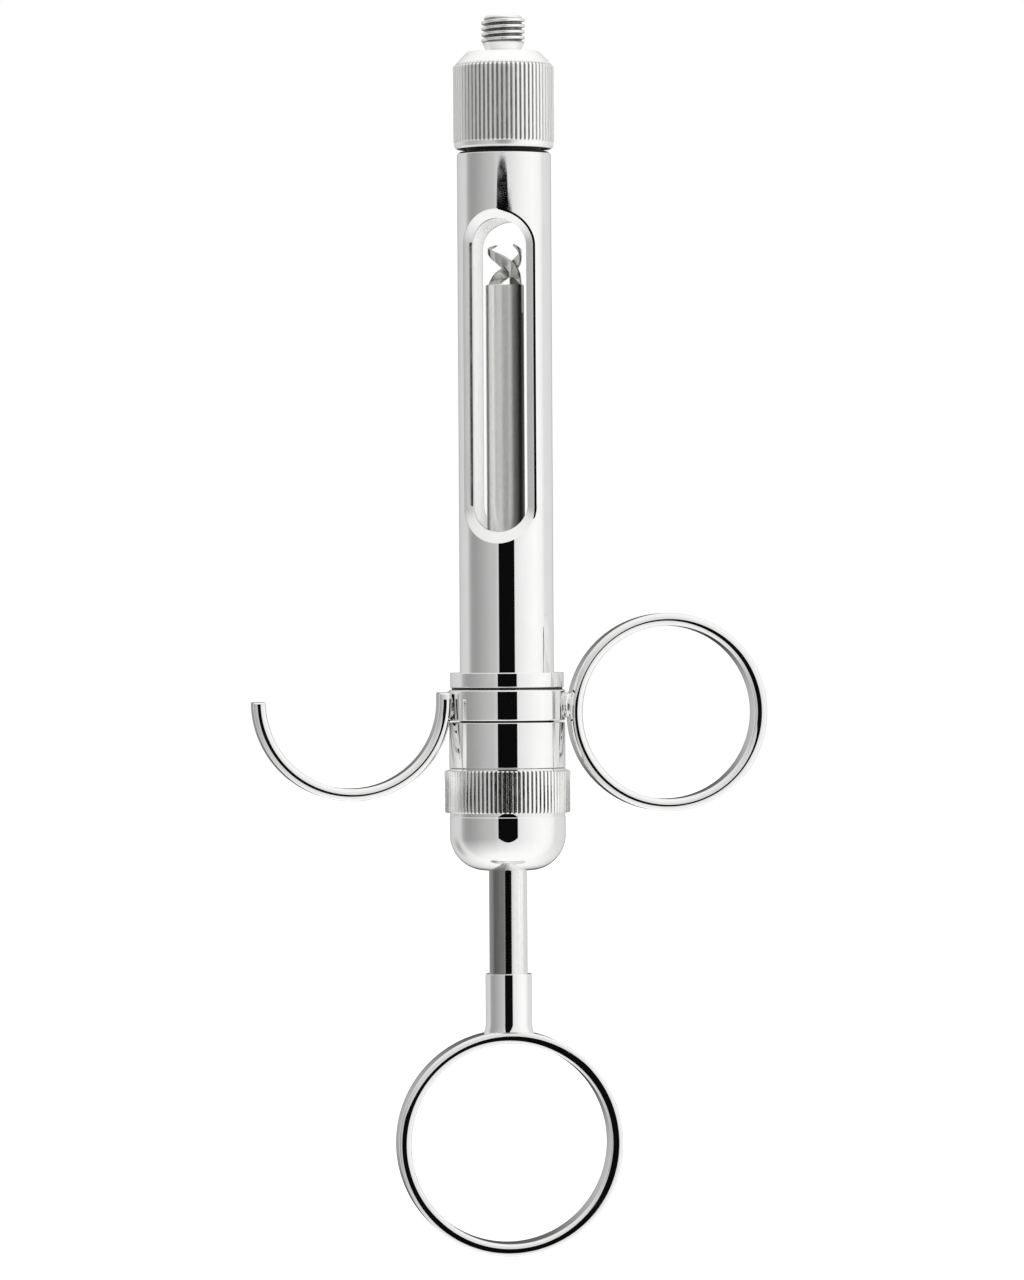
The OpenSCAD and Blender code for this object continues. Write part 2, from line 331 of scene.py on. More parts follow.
def remap(tree, value, from_range, to_range, smooth=False):
    node = tree.nodes.new("ShaderNodeMapRange")
    if smooth:
        node.interpolation_type = "SMOOTHSTEP"
    node.inputs["From Min"].default_value, node.inputs["From Max"].default_value = from_range
    node.inputs["To Min"].default_value, node.inputs["To Max"].default_value = to_range
    tree.links.new(value, node.inputs["Value"])
    return node.outputs["Result"]


def combine(tree, operation, a, b=0):
    node = tree.nodes.new("ShaderNodeMath")
    node.operation = operation
    for socket, value in zip(node.inputs, (a, b)):
        feed(tree, value, socket)
    return node.outputs[0]


def multiply(tree, a, b):
    return combine(tree, "MULTIPLY", a, b)


def mix_colours(tree, factor, a, b, blend="MIX"):
    """Two colours mixed by factor."""
    node = tree.nodes.new("ShaderNodeMix")
    node.data_type = "RGBA"
    node.blend_type = blend
    for name, value in (("Factor", factor), ("A", a), ("B", b)):
        feed(tree, value, node.inputs[name])
    return node.outputs["Result"]


def tint(tree, factor, dark, light):
    """A colour between dark and light, by factor."""
    ramp = tree.nodes.new("ShaderNodeValToRGB")
    ramp.color_ramp.elements[0].color = (*dark, 1)
    ramp.color_ramp.elements[1].color = (*light, 1)
    tree.links.new(factor, ramp.inputs["Fac"])
    return ramp.outputs["Color"]


def bump(tree, shader, height, strength, distance):
    node = tree.nodes.new("ShaderNodeBump")
    node.inputs["Strength"].default_value = strength
    node.inputs["Distance"].default_value = distance * MM
    tree.links.new(height, node.inputs["Height"])
    tree.links.new(node.outputs["Normal"], shader.inputs["Normal"])


def chrome_material(name, base, rough_low, rough_high, grain, scratch_scale):
    """Polished plating: smudges and fine scratches in the gloss, a faint waviness, darker hollows."""
    material, tree, shader = new_material(name, 1.0)
    smudge = noise(tree, (0.35, 0.35, 0.2), 5.0, 0.65)
    scratch = noise(tree, scratch_scale, 3.0, 0.5)
    fine = remap(tree, scratch, (0.62, 0.8), (0.0, 1.0), smooth=True)
    blotch = remap(tree, smudge, (0.45, 0.75), (rough_low, rough_high), smooth=True)
    tree.links.new(combine(tree, "ADD", blotch, multiply(tree, fine, grain)),
              shader.inputs["Roughness"])
    geometry = tree.nodes.new("ShaderNodeNewGeometry")
    # Darker where the surface is hollow, by pointiness.
    hollow_dark = remap(tree, geometry.outputs["Pointiness"], (0.42, 0.5), (0.25, 0.0))
    shade = combine(tree, "ADD", hollow_dark, remap(tree, smudge, (0.3, 0.8), (0.0, 0.12)))
    dark = tuple(0.5 * c for c in base)
    tree.links.new(tint(tree, shade, base, dark), shader.inputs["Base Color"])
    bump(tree, shader, combine(tree, "ADD", scratch, smudge), 0.006, 0.01)
    return material


def axis_distance(tree, place):
    """Distance of a shading point from the object's own Z axis, in metres."""
    flat = tree.nodes.new("ShaderNodeVectorMath")
    flat.operation = "MULTIPLY"
    flat.inputs[1].default_value = (1, 1, 0)
    tree.links.new(place, flat.inputs[0])
    reach = tree.nodes.new("ShaderNodeVectorMath")
    reach.operation = "LENGTH"
    tree.links.new(flat.outputs["Vector"], reach.inputs[0])
    return reach.outputs["Value"]


def knurl_material(name, base, rough_low, rough_high, crest, depth, heights, groove_shade_level):
    """Plating over a cut knurl or thread: fine pits, and painted shade in the grooves between two heights.
    """
    material, tree, shader = new_material(name, 1.0)
    pits = noise(tree, (9.0, 9.0, 5.0), 4.0, 0.7)
    cut = noise(tree, (7.0, 7.0, 0.8), 3.0, 0.6)
    tree.links.new(remap(tree, pits, (0.35, 0.7), (rough_low, rough_high)), shader.inputs["Roughness"])
    place = tree.nodes.new("ShaderNodeTexCoord")
    split = tree.nodes.new("ShaderNodeSeparateXYZ")
    tree.links.new(place.outputs["Object"], split.inputs["Vector"])
    hollow = remap(tree, axis_distance(tree, place.outputs["Object"]),
                   ((crest - 0.95 * depth) * MM, (crest - 0.25 * depth) * MM), (1.0, 0.0), smooth=True)
    bottom, top = heights
    above = remap(tree, split.outputs["Z"], (bottom * MM, (bottom + 0.1) * MM), (0.0, 1.0))
    below = remap(tree, split.outputs["Z"], ((top - 0.25) * MM, top * MM), (1.0, 0.0))
    # Painted shade: the grooves are darkened between the two heights, varied by noise.
    groove_shade = multiply(tree, hollow, multiply(tree, above, below))
    groove_shade = multiply(tree, groove_shade, remap(tree, cut, (0.3, 0.6), (0.6, 1.0)))
    dark = tuple(groove_shade_level * c for c in base)
    tree.links.new(tint(tree, groove_shade, base, dark), shader.inputs["Base Color"])
    bump(tree, shader, combine(tree, "ADD", pits, cut), 0.3, 0.02)
    return material


def rod_material(name, base):
    """Drawn steel: satin in the bay, polished by the seal where it slides behind the breech.

    Its light and dark sides stand in for the room's reflections, and turn with the rod.
    """
    material, tree, shader = new_material(name, 1.0)
    place = tree.nodes.new("ShaderNodeTexCoord")
    split = tree.nodes.new("ShaderNodeSeparateXYZ")
    tree.links.new(place.outputs["Object"], split.inputs["Vector"])
    drawn = noise(tree, (6.0, 6.0, 0.08), 4.0, 0.6)
    specks = noise(tree, (1.6, 1.6, 1.2), 5.0, 0.7)
    satin = remap(tree, split.outputs["Z"], (-0.075, -0.060), (0.05, 0.33), smooth=True)
    grain = remap(tree, drawn, (0.35, 0.7), (0.0, 0.05))
    tree.links.new(combine(tree, "ADD", satin, grain), shader.inputs["Roughness"])
    light = tuple(1.08 * c for c in base)
    dark = tuple(0.88 * c for c in base)
    mixed = multiply(tree, drawn, remap(tree, specks, (0.25, 0.6), (0.75, 1.25)))
    steel = tint(tree, remap(tree, mixed, (0.3, 0.75), (0.0, 1.0)), dark, light)
    # Painted reflection: light and dark sides across the rod, bright on the left in the bay and bright on
    # the right behind it.
    rear_painted_reflection = remap(tree, split.outputs["X"], (-0.001, 0.0006), (0.42, 1.18), smooth=True)
    bay_painted_reflection = remap(tree, split.outputs["X"], (-0.001, 0.0019), (1.4, 0.14), smooth=True)
    behind = remap(tree, split.outputs["Z"], (-0.075, -0.060), (1.0, 0.0), smooth=True)
    sides = tree.nodes.new("ShaderNodeMix")
    tree.links.new(behind, sides.inputs["Factor"])
    tree.links.new(bay_painted_reflection, sides.inputs["A"])
    tree.links.new(rear_painted_reflection, sides.inputs["B"])
    shaded = mix_colours(tree, 1.0, steel, sides.outputs["Result"], "MULTIPLY")
    tree.links.new(shaded, shader.inputs["Base Color"])
    bump(tree, shader, drawn, 0.01, 0.01)
    return material


def plain_material(name, base, metallic, rough_low, rough_high, grain):
    """A matt or satin inner part with a fine mottle."""
    material, tree, shader = new_material(name, metallic)
    mottle = noise(tree, (3.0, 3.0, 3.0), 5.0, 0.65)
    tree.links.new(remap(tree, mottle, (0.3, 0.7), (rough_low, rough_high)), shader.inputs["Roughness"])
    dark = tuple(0.8 * c for c in base)
    tree.links.new(tint(tree, remap(tree, mottle, (0.35, 0.65), (0.0, 1.0)), dark, base),
              shader.inputs["Base Color"])
    bump(tree, shader, mottle, grain, 0.02)
    return material


def bore_material(name):
    """The cartridge bay's wall: painted light facing the windows, painted shade along its two sides.

    A little emission stands in for light that bounces inside the bay.
    """
    material, tree, shader = new_material(name, 0.7)
    drawn = noise(tree, (5.0, 5.0, 0.3), 4.0, 0.6)
    tree.links.new(remap(tree, drawn, (0.3, 0.7), (0.42, 0.58)), shader.inputs["Roughness"])
    place = tree.nodes.new("ShaderNodeTexCoord")
    turn = tree.nodes.new("ShaderNodeMapping")
    turn.inputs["Rotation"].default_value = (0, 0, -WINDOW_CLOCK)
    tree.links.new(place.outputs["Object"], turn.inputs["Vector"])
    split = tree.nodes.new("ShaderNodeSeparateXYZ")
    tree.links.new(turn.outputs["Vector"], split.inputs["Vector"])
    aside = combine(tree, "ABSOLUTE", split.outputs["X"])
    # Painted shade along the bay's two sides and painted light facing the windows; the same colour also
    # drives the emission, a painted glow.
    side_shade = remap(tree, aside, (0.95 * BAY_R * MM, 0.99 * BAY_R * MM), (0.0, 1.0), smooth=True)
    side_shade = combine(tree, "ADD", side_shade, remap(tree, drawn, (0.3, 0.8), (0.0, 0.06)))
    wall = tint(tree, side_shade, (1.0, 1.0, 0.99), (0.10, 0.10, 0.10))
    tree.links.new(wall, shader.inputs["Base Color"])
    tree.links.new(wall, shader.inputs["Emission Color"])
    shader.inputs["Emission Strength"].default_value = 0.2
    bump(tree, shader, drawn, 0.1, 0.01)
    return material


CHROME = chrome_material("polished_chrome", (0.90, 0.90, 0.895), 0.015, 0.05, 0.05, (0.8, 0.8, 14.0))
BAND_CHROME = chrome_material("ring_chrome", (0.89, 0.89, 0.885), 0.03, 0.09, 0.07, (5.0, 5.0, 5.0))
BEVEL_CHROME = chrome_material("bevel_chrome", (0.88, 0.88, 0.875), 0.09, 0.16, 0.06, (4.0, 4.0, 4.0))
CAP_KNURL = knurl_material("satin_knurl", (0.97, 0.97, 0.96), 0.30, 0.42, outer_r("nose_cap"),
                           CAP_KNURL_DEPTH, (-11.55, -1.55), 0.30)
NUT_KNURL = knurl_material("polished_knurl", (0.98, 0.98, 0.97), 0.12, 0.20, outer_r("breech_nut"),
                           NUT_KNURL_DEPTH, (NUT_KNURL_LOW, -91.8), 0.04)
THREAD = knurl_material("cut_thread", (0.94, 0.94, 0.93), 0.18, 0.30, outer_r("needle_adaptor"),
                        NEEDLE_THREAD_DEPTH, (1.2, 4.4), 0.12)
STEEL = rod_material("drawn_steel", (0.70, 0.70, 0.685))
BARB = plain_material("barb_steel", (0.62, 0.62, 0.60), 1.0, 0.16, 0.22, 0.01)
BORE = bore_material("bay_wall")
# Painted shade: a near-black material put in gaps and seams where shade falls.
GAP_SHADE = plain_material("painted_gap_shade", (0.035, 0.035, 0.033), 0.6, 0.45, 0.60, 0.2)
SPRING = plain_material("spring_steel", (0.62, 0.62, 0.60), 1.0, 0.18, 0.30, 0.15)
PTFE = plain_material("white_ptfe", (0.90, 0.89, 0.85), 0.0, 0.45, 0.60, 0.10)
RUBBER = plain_material("seal_rubber", (0.035, 0.035, 0.035), 0.0, 0.50, 0.70, 0.30)


# ---------------- needle adaptor and nose cap

def build_needle_adaptor():
    top = high("needle_adaptor").z
    crest = outer_r("needle_adaptor")
    root = crest - NEEDLE_THREAD_DEPTH
    foot = low("needle_adaptor").z
    bore, spigot, neck, columns = 0.9, 2.5, 2.1, 144
    thread_low, thread_high = 1.15, top - 0.28
    mesh = Mesh()
    rows = lathe_rows([(bore, foot + 0.2), (bore + 0.2, foot), (spigot - 0.1, foot), (spigot, foot + 0.1),
                       (spigot, -0.02), (neck + 0.05, 0.0), (neck, 0.04), (crest - 0.2, 1.02),
                       (crest - 0.14, 1.12)], columns)
    rows += thread_rows(root, crest, NEEDLE_PITCH, thread_low, thread_high, columns, 0.03, 0.18)
    rows += lathe_rows([(root, top - 0.22), (root - 0.06, top - 0.08), (root - 0.18, top),
                        (bore + 0.25, top), (bore, top - 0.25)], columns)
    rows.append(rows[0])
    mesh.rows(rows)
    finish_piece("needle_adaptor_turned", mesh, "nose", THREAD, ["needle_adaptor"], 50)


def build_nose_cap():
    cap_r = outer_r("nose_cap")
    bottom = low("nose_cap").z
    teeth = 68
    columns = teeth * TOOTH_COLUMNS
    roof, bore = -3.6, 2.5
    mesh = Mesh()
    depth = CAP_KNURL_DEPTH
    crown = rounded([(bore, -0.01), (4.62, 0.0, 0.25), (6.0, -1.38, 0.6), (cap_r, -1.95, 0.2),
                     (cap_r, -2.6)], 5)
    rows = lathe_rows([(bore, roof)], columns)
    for r, z in crown:
        rows.append(ring_row(knurl_radius(cap_r, depth, teeth, top=r), z, columns))
    knurl_end = bottom + 0.8
    rows.append(ring_row(knurl_radius(cap_r, depth, teeth), knurl_end + 0.12, columns))
    rows.append(ring_row(knurl_radius(cap_r, depth, teeth, top=cap_r - 0.09), knurl_end, columns))
    rows += lathe_rows([(cap_r - 0.1, knurl_end - 0.05), (cap_r - 0.1, bottom + 0.42),
                        (cap_r - 0.16, bottom + 0.2), (cap_r - 0.42, bottom), (NECK_R + 0.35, bottom),
                        (NECK_R + 0.06, bottom + 0.3), (NECK_R + 0.06, roof), (bore, roof)], columns)
    mesh.rows(rows)
    piece = finish_piece("nose_cap_knurled", mesh, "nose", (CAP_KNURL, GAP_SHADE),
                         ["nose_cap"], 28)
    # Painted shade: the faces inside the cap's rear end, round the barrel's neck, get the near-black gap
    # material.
    for face in piece.data.polygons:
        if face.center.z / MM < bottom + 0.31 and Vector(face.center.xy).length / MM < cap_r - 0.45:
            face.material_index = 1
    return piece


# ---------------- barrel

def on_barrel(radius, x, z):
    """A point of a barrel surface at sideways place x in the window's own frame, turned into place."""
    y = -math.sqrt(max(radius * radius - x * x, 0))
    c, s = math.cos(WINDOW_CLOCK), math.sin(WINDOW_CLOCK)
    return (x * c - y * s, x * s + y * c, z)


def slot_loop():
    """(sideways share, upward share, anchor height) around a slot: top, right, bottom, left."""
    top, bottom = WINDOW_TOP - WINDOW_HALF, WINDOW_BOTTOM + WINDOW_HALF
    loop = []
    for i in range(ARC_STEPS):
        angle = math.pi * (1 - i / ARC_STEPS)
        loop.append((math.cos(angle), math.sin(angle), top))
    for i in range(SIDE_STEPS):
        loop.append((1, 0, top + (bottom - top) * i / SIDE_STEPS))
    for i in range(ARC_STEPS):
        angle = -math.pi * i / ARC_STEPS
        loop.append((math.cos(angle), math.sin(angle), bottom))
    for i in range(SIDE_STEPS):
        loop.append((-1, 0, bottom + (top - bottom) * i / SIDE_STEPS))
    return loop


def window_loop(bevel):
    """(x, z) points around the slot, moved out by a share of the bevel's width."""
    points = []
    for across, up, anchor in slot_loop():
        half = WINDOW_HALF + bevel * bevel_width(up)
        points.append((half * across, anchor + half * up))
    return points


def bevel_width(up):
    return WINDOW_BEVEL + 0.3 * max(-up, 0.0)


def bevel_rows(turn):
    """Rows of the window's bevel, from its rounded outer edge down to the slot."""
    loop = slot_loop()
    rows = []
    for level in range(9):
        row = []
        for across, up, anchor in loop:
            lit = min(max((across - 0.02) / 0.25, 0), 1) * min(max((up + 0.45) / 0.3, 0), 1)
            edge = 0.10 + 0.13 * lit
            t = edge * level / 4 if level <= 4 else edge + (1 - edge) * (level - 4) / 4
            slope = 1 / (1 - edge / 2)
            sink = slope * t * t / (2 * edge) if t < edge else slope * (t - edge / 2)
            half = WINDOW_HALF + bevel_width(up) * (1 - t)
            radius = BARREL_R - (0.93 - 0.10 * max(-across, 0)) * sink
            row.append(turned(on_barrel(radius, half * across, anchor + half * up), turn))
        rows.append(row)
    return rows


def window_side(centre):
    """1 for a point on the photographed window's side of the barrel, -1 for one on the other side."""
    facing = Vector((math.sin(WINDOW_CLOCK), -math.cos(WINDOW_CLOCK)))
    return 1 if facing.dot(centre.xy) > 0 else -1


def bright_edge(centre):
    """Normal of the polished land along the bevel's right and upper right edge."""
    front = window_side(centre)
    angle = WINDOW_CLOCK + math.radians(9.5)
    return Vector((front * math.sin(angle), -front * math.cos(angle), -0.06)).normalized()


def wall_patch(mesh, radius, bevel, turn, flip):
    """Half of a tube wall around one window, from the slot's edge to the patch's square outline."""
    loop = window_loop(bevel)
    outline = []
    for i in range(ARC_STEPS):
        outline.append((math.pi * (i / ARC_STEPS - 0.5), PATCH_TOP))
    for i in range(SIDE_STEPS):
        outline.append((math.pi / 2, PATCH_TOP + (PATCH_BOTTOM - PATCH_TOP) * i / SIDE_STEPS))
    for i in range(ARC_STEPS):
        outline.append((math.pi * (0.5 - i / ARC_STEPS), PATCH_BOTTOM))
    for i in range(SIDE_STEPS):
        outline.append((-math.pi / 2, PATCH_BOTTOM + (PATCH_TOP - PATCH_BOTTOM) * i / SIDE_STEPS))
    rings = 12
    rows = []
    for k in range(rings + 1):
        t = (k / rings) ** 1.6
        row = []
        for (x, z), (angle, edge_z) in zip(loop, outline):
            here = math.asin(x / radius)
            a = here + (angle - here) * t
            row.append(turned(on_barrel(radius, 0, z + (edge_z - z) * t), a + turn))
        rows.append(row)
    mesh.rows(rows, flip=flip)


def turned(point, angle):
    c, s = math.cos(angle), math.sin(angle)
    return (point[0] * c - point[1] * s, point[0] * s + point[1] * c, point[2])


def slot_ring(radius, turn):
    return [turned(on_barrel(radius, x, z), turn) for x, z in window_loop(0)]


def on_bright_side(centre):
    """Whether a point of the bevel's outer edge lies on its right or upper right part."""
    x = window_side(centre) * (centre.x * math.cos(WINDOW_CLOCK) + centre.y * math.sin(WINDOW_CLOCK)) / MM
    return x > 0.35 and centre.z / MM > WINDOW_BOTTOM + 0.5 * WINDOW_HALF


def neck_rows(columns):
    """The outside of the barrel's front: end face, thread, shoulder and the start of the tube."""
    root = NECK_R - THREAD_DEPTH
    rows = lathe_rows([(NECK_BORE_R + 0.15, BARREL_NECK_TOP), (root, BARREL_NECK_TOP)], columns)
    top, bottom = BARREL_NECK_TOP - 0.45, BARREL_TOP + 0.35
    rows += thread_rows(root, NECK_R, THREAD_PITCH, top, bottom, columns, 0.07)
    shoulder = rounded([(root, BARREL_TOP + 0.05), (NECK_R - 0.35, BARREL_TOP),
                        (BARREL_R - 0.34, BARREL_TOP, 0.12), (BARREL_R, BARREL_TOP - 0.34, 0.2),
                        (BARREL_R, BARREL_TOP - 1.2)])
    return rows + lathe_rows(shoulder + [(BARREL_R, PATCH_TOP)], columns)


def rear_rows(columns):
    """The barrel behind the windows: the tube's end, the rear thread and the bay's rear bore."""
    root = REAR_THREAD_R - THREAD_DEPTH
    rows = lathe_rows([(BARREL_R, PATCH_BOTTOM), (BARREL_R, -85.45), (BARREL_R, -85.7),
                       (root, -85.85)], columns)
    rows += thread_rows(root, REAR_THREAD_R, THREAD_PITCH, -85.9, BARREL_BOTTOM + 0.35, columns, 0.07)
    return rows + lathe_rows([(root, BARREL_BOTTOM + 0.2), (root - 0.2, BARREL_BOTTOM),
                              (BAY_R + 0.2, BARREL_BOTTOM), (BAY_R, BARREL_BOTTOM + 0.2),
                              (BAY_R, PATCH_BOTTOM)], columns)


def build_barrel():
    columns = 2 * ARC_STEPS
    start = WINDOW_CLOCK - math.pi
    mesh = Mesh()

    def turned_row(row):
        return [turned(p, start) for p in row]

    mesh.rows([turned_row(r) for r in neck_rows(columns)])
    bay = lathe_rows([(NECK_BORE_R + 0.15, BARREL_NECK_TOP), (NECK_BORE_R, BARREL_NECK_TOP - 0.15),
                      (NECK_BORE_R, BARREL_TOP - 0.4), (BAY_R, BARREL_TOP - 0.8), (BAY_R, PATCH_TOP)],
                     columns)
    mesh.rows([turned_row(r) for r in bay], flip=True)
    mesh.rows([turned_row(r) for r in rear_rows(columns)])

    for turn in (0, math.pi):
        wall_patch(mesh, BARREL_R, 1, turn, False)
        wall_patch(mesh, BAY_R, 0, turn, True)
        bevel = bevel_rows(turn)
        mesh.mark = 2
        mesh.rows(bevel[:5], flip=True)
        mesh.mark = 1
        mesh.rows(bevel[4:], flip=True)
        mesh.mark = 0
        mesh.rows([bevel[-1], slot_ring(BAY_R, turn)], flip=True)
    piece = finish_piece("barrel_polished", mesh, "barrel", (CHROME, BEVEL_CHROME, CHROME, BORE, GAP_SHADE),
                         ["barrel_tube"], 24)
    seam = (high("lock_sleeve").z + low("grip_collar").z) / 2
    # Faces on the bay's radius get the bay wall; faces at the shoulder under the nose cap and in the seam
    # between lock sleeve and grip collar get painted shade.
    for face in piece.data.polygons:
        reach, z = Vector(face.center.xy).length / MM, face.center.z / MM
        if reach < BAY_R + 0.02 and face.material_index == 0:
            face.material_index = 3
        elif reach < NECK_R + 0.1 and BARREL_TOP < z < BARREL_TOP + 1.0 or abs(z - seam) < 0.3:
            face.material_index = 4
        if face.material_index == 2 and not on_bright_side(face.center):
            face.material_index = 0
    true_round(piece, (BARREL_R, BAY_R), bright_edge, 2)
    return piece


def plain_ring(name, node, body, fillet, bore, r):
    """A turned chrome ring of its CAD node's height and radius r, with softly broken edges."""
    top, bottom = high(node).z, low(node).z
    start = (bore, (top + bottom) / 2)
    outline = [start, (bore, bottom, 0.05), (r, bottom, fillet), (r, top, fillet), (bore, top, 0.05), start]
    mesh = Mesh()
    mesh.rows(lathe_rows(rounded(outline), 160))
    piece = finish_piece(name, mesh, body, CHROME, [node])
    true_round(piece, (r,))


# ---------------- rings

def band_section(crown):
    """(across, along Y) points of a band's section: flat sides, and edges crowned with this radius."""
    half_t, half_w, corner = BAND_T / 2, BAND_W / 2, 0.35
    reach = (half_t - corner) / (1 - corner / crown)
    tilt = math.asin(reach / crown)
    drop = crown - crown * math.cos(tilt)
    edge = []
    for i in range(9):
        lean = tilt * (1 - i / 4)
        edge.append((crown * math.sin(lean), half_w - crown + crown * math.cos(lean)))
    arc = []
    centre = (half_t - corner, half_w - drop - corner * math.cos(tilt))
    for i in range(1, 7):
        lean = tilt + (math.pi / 2 - tilt) * i / 6
        arc.append((centre[0] + corner * math.sin(lean), centre[1] + corner * math.cos(lean)))
    side = [(half_t, centre[1] * (1 - i / 3)) for i in range(1, 3)]
    quarter = edge[:5][::-1] + arc + side
    right = quarter + [(half_t, 0)] + [(a, -y) for a, y in quarter[::-1]]
    left = [(-a, y) for a, y in right[1:-1]][::-1]
    return right + left


def sweep_band(mesh, centre_x, centre_z, ring_r, stations, closed, crown, flatter=0.0):
    """Sweeps the band's section through stations (angle, rise, scale) of a ring in the XZ plane.

    crown is the radius of the band's edges; flatter makes it larger on the ring's right than on its left.
    """
    middle = ring_r - BAND_T / 2
    rows = []
    for angle, rise, scale in stations:
        row = []
        section = band_section(crown * (1 + flatter * math.cos(angle)))
        for across, along in section:
            reach = middle + across * scale
            row.append((centre_x + reach * math.cos(angle), along * scale,
                        centre_z + rise + reach * math.sin(angle)))
        rows.append(row)
    if closed:
        mesh.rows(rows + [rows[0]])
    else:
        mesh.capped_rows(rows)


def build_closed_ring(name, node, body, crown, flatter):
    lo, hi = low(node), high(node)
    ring_r = (hi.x - lo.x) / 2
    mesh = Mesh()
    stations = [(TAU * i / 256, 0, 1) for i in range(256)]
    sweep_band(mesh, (lo.x + hi.x) / 2, hi.z - ring_r, ring_r, stations, True, crown, flatter)
    return finish_piece(name, mesh, body, BAND_CHROME, [node], 60)


def build_hook():
    lo, hi = low("finger_hook"), high("finger_hook")
    ring_r = (hi.x - lo.x) / 2
    centre_z = lo.z + ring_r
    stations = []
    ends = ((0.0, 0.86), (0.05, 0.94), (0.14, 0.985), (0.28, 1.0))
    for depth, scale in ends:
        stations.append((math.pi + depth / ring_r, 0, scale))
    for i in range(1, 160):
        stations.append((math.pi + math.pi * i / 160, 0, 1))
    rise = hi.z - centre_z
    for depth, scale in [(rise, 1.0)] + list(ends[::-1]):
        stations.append((0.0, rise - depth, scale))
    mesh = Mesh()
    sweep_band(mesh, (lo.x + hi.x) / 2, centre_z, ring_r, stations, False, 1.2)
    finish_piece("finger_hook_band", mesh, "grip", BAND_CHROME, ["finger_hook"], 40)


def braze_saddle(name, side):
    """The smooth braze joint between the collar and one finger grip."""
    top, bottom = high("grip_collar").z - 0.15, low("grip_collar").z + 0.1
    node = "finger_ring" if side > 0 else "finger_hook"
    ring_r = (high(node).x - low(node).x) / 2
    ring_x = abs(low(node).x + high(node).x) / 2
    ring_z = low(node).z + ring_r

    def gap(y, z):
        """Where the joint starts on the collar and where it ends on the grip."""
        inner = math.sqrt(COLLAR_R ** 2 - y ** 2) - 0.2
        dz = z - ring_z if side > 0 else min(z - ring_z, 0)
        outer = ring_x - math.sqrt(max(ring_r ** 2 - dz * dz, 0)) + 0.25
        return inner, max(outer, inner + 0.05)

    rows = []
    steps, around = 8, 48
    for k in range(steps + 1):
        t = k / steps
        waist = 1 - 0.16 * math.sin(math.pi * t)
        row = []
        for i in range(around):
            angle = TAU * i / around
            c, s = math.cos(angle), math.sin(angle)
            y = 2.1 * waist * math.copysign(abs(c) ** 0.6, c)
            z = (top + bottom) / 2 + (top - bottom) / 2 * waist * math.copysign(abs(s) ** 0.6, s)
            inner, outer = gap(y, z)
            row.append((side * (inner + (outer - inner) * t), y, z))
        rows.append(row)
    mesh = Mesh()
    mesh.capped_rows(rows)
    return finish_piece(name, mesh, "grip", BAND_CHROME, (), 60)


# ---------------- breech nut

def build_breech_nut():
    dome_r = outer_r("lock_sleeve")
    knurl_r = outer_r("breech_nut")
    top, bottom = high("breech_nut").z, low("breech_nut").z
    teeth = 86
    columns = teeth * TOOTH_COLUMNS
    knurl_top, knurl_bottom = top - 0.25, NUT_KNURL_LOW
    fillet = 4.62
    bore = REAR_THREAD_R + 0.05
    mesh = Mesh()
    rows = lathe_rows([(bore, top - 0.2), (bore + 0.2, top), (dome_r - 0.08, top), (dome_r, top - 0.08),
                       (dome_r, knurl_top)], columns)
    chamfered = ((knurl_top, 0.16), (knurl_top - 0.14, 0.0),
                 (knurl_bottom + 0.14, 0.0), (knurl_bottom, 0.16))
    for z, cut in chamfered:
        rows.append(ring_row(knurl_radius(knurl_r, NUT_KNURL_DEPTH, teeth, top=knurl_r - cut), z, columns))
    dome = [(dome_r, knurl_bottom), (dome_r - 0.06, knurl_bottom - 0.35),
            (dome_r - 0.06, knurl_bottom - 0.5), (dome_r, knurl_bottom - 0.58)]
    for i in range(33):
        angle = math.pi / 2 * i / 32
        dome.append((dome_r - fillet + fillet * math.cos(angle), bottom + fillet - fillet * math.sin(angle)))
    dome += [(ROD_R + 0.2, bottom), (ROD_R + 0.1, bottom + 0.1), (ROD_R + 0.1, -102.3), (4.2, -102.3),
             (4.2, -99.9), (bore, -99.9)]
    rows += lathe_rows(dome, columns)
    rows.append(rows[0])
    mesh.rows(rows)
    piece = finish_piece("breech_nut_domed", mesh, "breech", (CHROME, NUT_KNURL),
                         ["breech_nut"], 28)
    for face in piece.data.polygons:
        z = face.center.z / MM
        if knurl_bottom - 0.02 < z < knurl_top + 0.02 and Vector(face.center.xy).length / MM > dome_r + 0.02:
            face.material_index = 1
    true_round(piece, (dome_r,))
    return piece


# ---------------- piston

